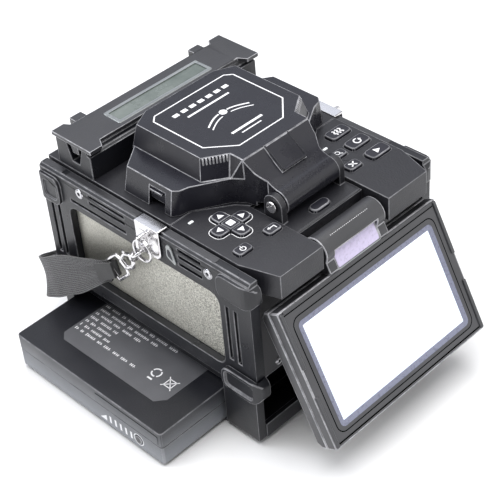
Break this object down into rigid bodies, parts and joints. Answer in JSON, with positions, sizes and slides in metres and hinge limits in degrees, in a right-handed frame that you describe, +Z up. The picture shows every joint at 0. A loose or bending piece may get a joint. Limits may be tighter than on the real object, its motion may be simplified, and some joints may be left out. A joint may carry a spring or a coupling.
{
  "type": "fiber fusion splicer",
  "caption": "Portable fusion splicer: caged body, tilting display, windshield cover over the splice stage, heater at the back, battery drawn half out, carrying strap.",
  "frame": {"origin": "on the ground plane, in the middle of the foot pad, under the middle of the body", "axes": "+X to the right of a person facing the display, +Y to the back where the sleeve heater is, +Z up"},
  "size_m": [0.1904, 0.2241, 0.1433],
  "materials": {
    "black": "textured black moulding",
    "cover": "fine textured black moulding",
    "grey": "satin charcoal paint",
    "rubber": "matt black rubber",
    "sand": "sand-textured metallic paint",
    "chrome": "bright plated",
    "steel": "ground",
    "key": "soft-touch key",
    "glass": "clear",
    "board": "solder-masked circuit board",
    "ceramic": "white ceramic heater plate",
    "brass": "turned",
    "webbing": "woven webbing",
    "cell": "shrink-wrapped cells",
    "metal": "folded sheet"
  },
  "bodies": {
    "body": {"left_frame": "black", "right_frame": "black", "base_pan": "black", "back_panel": "black", "main_deck": "black", "left_keypad_deck": "black", "right_keypad_deck": "black", "heater_body": "black", "left_front_bumper": "rubber", "left_back_bumper": "rubber", "right_front_bumper": "rubber", "right_back_bumper": "rubber", "foot_pad": "rubber", "left_side_panel": "sand", "right_side_panel": "sand", "front_panel": "grey", "main_board": "board", "arc_board": "board", "splice_base": "steel", "microscope_unit": "brass", "front_electrode": "chrome", "back_electrode": "chrome", "cover_hinge_pin": "chrome", "left_strap_bracket": "chrome", "right_strap_bracket": "chrome", "strap_ring": "chrome", "strap_hook": "chrome", "heater_plate": "ceramic", "strap_webbing": "webbing"},
    "cover": {"windshield_cover": "cover"},
    "heater_lid": {"heater_lid": "grey", "heater_window": "glass", "left_heater_clamp": "grey", "right_heater_clamp": "grey"},
    "display": {"display_neck": "grey", "display_shell": "black", "display_bezel": "grey", "display_glass": "glass", "display_module": "metal"},
    "battery": {"battery_lower_case": "black", "battery_upper_case": "black", "battery_cells": "cell"},
    "battery_button": {"battery_button": "grey"},
    "left_carriage": {"left_carriage": "steel"},
    "right_carriage": {"right_carriage": "steel"},
    "left_sheath_clamp": {"left_sheath_clamp": "black"},
    "right_sheath_clamp": {"right_sheath_clamp": "black"},
    "deck_button": {"deck_button": "key"},
    "key_right": {"key_right": "key"},
    "key_up": {"key_up": "key"},
    "key_left": {"key_left": "key"},
    "key_down": {"key_down": "key"},
    "key_centre": {"key_centre": "key"},
    "key_back": {"key_back": "key"},
    "key_power": {"key_power": "key"},
    "key_heat": {"key_heat": "key"},
    "key_reset": {"key_reset": "key"},
    "key_set": {"key_set": "key"},
    "key_cross": {"key_cross": "key"},
    "key_zoom": {"key_zoom": "key"}
  },
  "joints": [
    {"name": "cover_hinge", "type": "hinge", "parent": "body", "child": "cover", "pos_m": [0, -0.0562, 0.1231], "axis": [1, 0, 0], "range_deg": [0, 95]},
    {"name": "display_hinge", "type": "hinge", "parent": "body", "child": "display", "pos_m": [0, -0.083, 0.1068], "axis": [1, 0, 0], "range_deg": [-135, 25]},
    {"name": "heater_lid_hinge", "type": "hinge", "parent": "body", "child": "heater_lid", "pos_m": [0, 0.0689, 0.1319], "axis": [-1, 0, 0], "range_deg": [0, 100]},
    {"name": "battery_slide", "type": "slide", "parent": "body", "child": "battery", "axis": [-1, 0, 0], "range_m": [-0.0425, 0.035]},
    {"name": "left_carriage_slide", "type": "slide", "parent": "body", "child": "left_carriage", "axis": [1, 0, 0], "range_m": [-0.0015, 0.0015]},
    {"name": "left_clamp_hinge", "type": "hinge", "parent": "left_carriage", "child": "left_sheath_clamp", "pos_m": [-0.028, 0.005, 0.1199], "axis": [-1, 0, 0], "range_deg": [0, 90]},
    {"name": "right_carriage_slide", "type": "slide", "parent": "body", "child": "right_carriage", "axis": [1, 0, 0], "range_m": [-0.0015, 0.0015]},
    {"name": "right_clamp_hinge", "type": "hinge", "parent": "right_carriage", "child": "right_sheath_clamp", "pos_m": [0.028, 0.005, 0.1199], "axis": [-1, 0, 0], "range_deg": [0, 90]},
    {"name": "key_right_press", "type": "slide", "parent": "body", "child": "key_right", "axis": [0, 0, -1], "range_m": [0, 0.0008], "stiffness_N_per_m": 600, "springref_m": -0.0006},
    {"name": "key_up_press", "type": "slide", "parent": "body", "child": "key_up", "axis": [0, 0, -1], "range_m": [0, 0.0008], "stiffness_N_per_m": 600, "springref_m": -0.0006},
    {"name": "key_left_press", "type": "slide", "parent": "body", "child": "key_left", "axis": [0, 0, -1], "range_m": [0, 0.0008], "stiffness_N_per_m": 600, "springref_m": -0.0006},
    {"name": "key_down_press", "type": "slide", "parent": "body", "child": "key_down", "axis": [0, 0, -1], "range_m": [0, 0.0008], "stiffness_N_per_m": 600, "springref_m": -0.0006},
    {"name": "key_centre_press", "type": "slide", "parent": "body", "child": "key_centre", "axis": [0, 0, -1], "range_m": [0, 0.0008], "stiffness_N_per_m": 600, "springref_m": -0.0006},
    {"name": "key_back_press", "type": "slide", "parent": "body", "child": "key_back", "axis": [0, 0, -1], "range_m": [0, 0.0008], "stiffness_N_per_m": 600, "springref_m": -0.0006},
    {"name": "key_power_press", "type": "slide", "parent": "body", "child": "key_power", "axis": [0, 0, -1], "range_m": [0, 0.0008], "stiffness_N_per_m": 600, "springref_m": -0.0006},
    {"name": "key_heat_press", "type": "slide", "parent": "body", "child": "key_heat", "axis": [0, 0, -1], "range_m": [0, 0.0008], "stiffness_N_per_m": 600, "springref_m": -0.0006},
    {"name": "key_reset_press", "type": "slide", "parent": "body", "child": "key_reset", "axis": [0, 0, -1], "range_m": [0, 0.0008], "stiffness_N_per_m": 600, "springref_m": -0.0006},
    {"name": "key_set_press", "type": "slide", "parent": "body", "child": "key_set", "axis": [0, 0, -1], "range_m": [0, 0.0008], "stiffness_N_per_m": 600, "springref_m": -0.0006},
    {"name": "key_cross_press", "type": "slide", "parent": "body", "child": "key_cross", "axis": [0, 0, -1], "range_m": [0, 0.0008], "stiffness_N_per_m": 600, "springref_m": -0.0006},
    {"name": "key_zoom_press", "type": "slide", "parent": "body", "child": "key_zoom", "axis": [0, 0, -1], "range_m": [0, 0.0008], "stiffness_N_per_m": 600, "springref_m": -0.0006},
    {"name": "deck_button_press", "type": "slide", "parent": "body", "child": "deck_button", "axis": [0, 0, -1], "range_m": [0, 0.0008], "stiffness_N_per_m": 600, "springref_m": -0.0006},
    {"name": "battery_button_press", "type": "slide", "parent": "battery", "child": "battery_button", "axis": [1, 0, 0], "range_m": [0, 0.0008], "stiffness_N_per_m": 600, "springref_m": -0.0006}
  ]
}
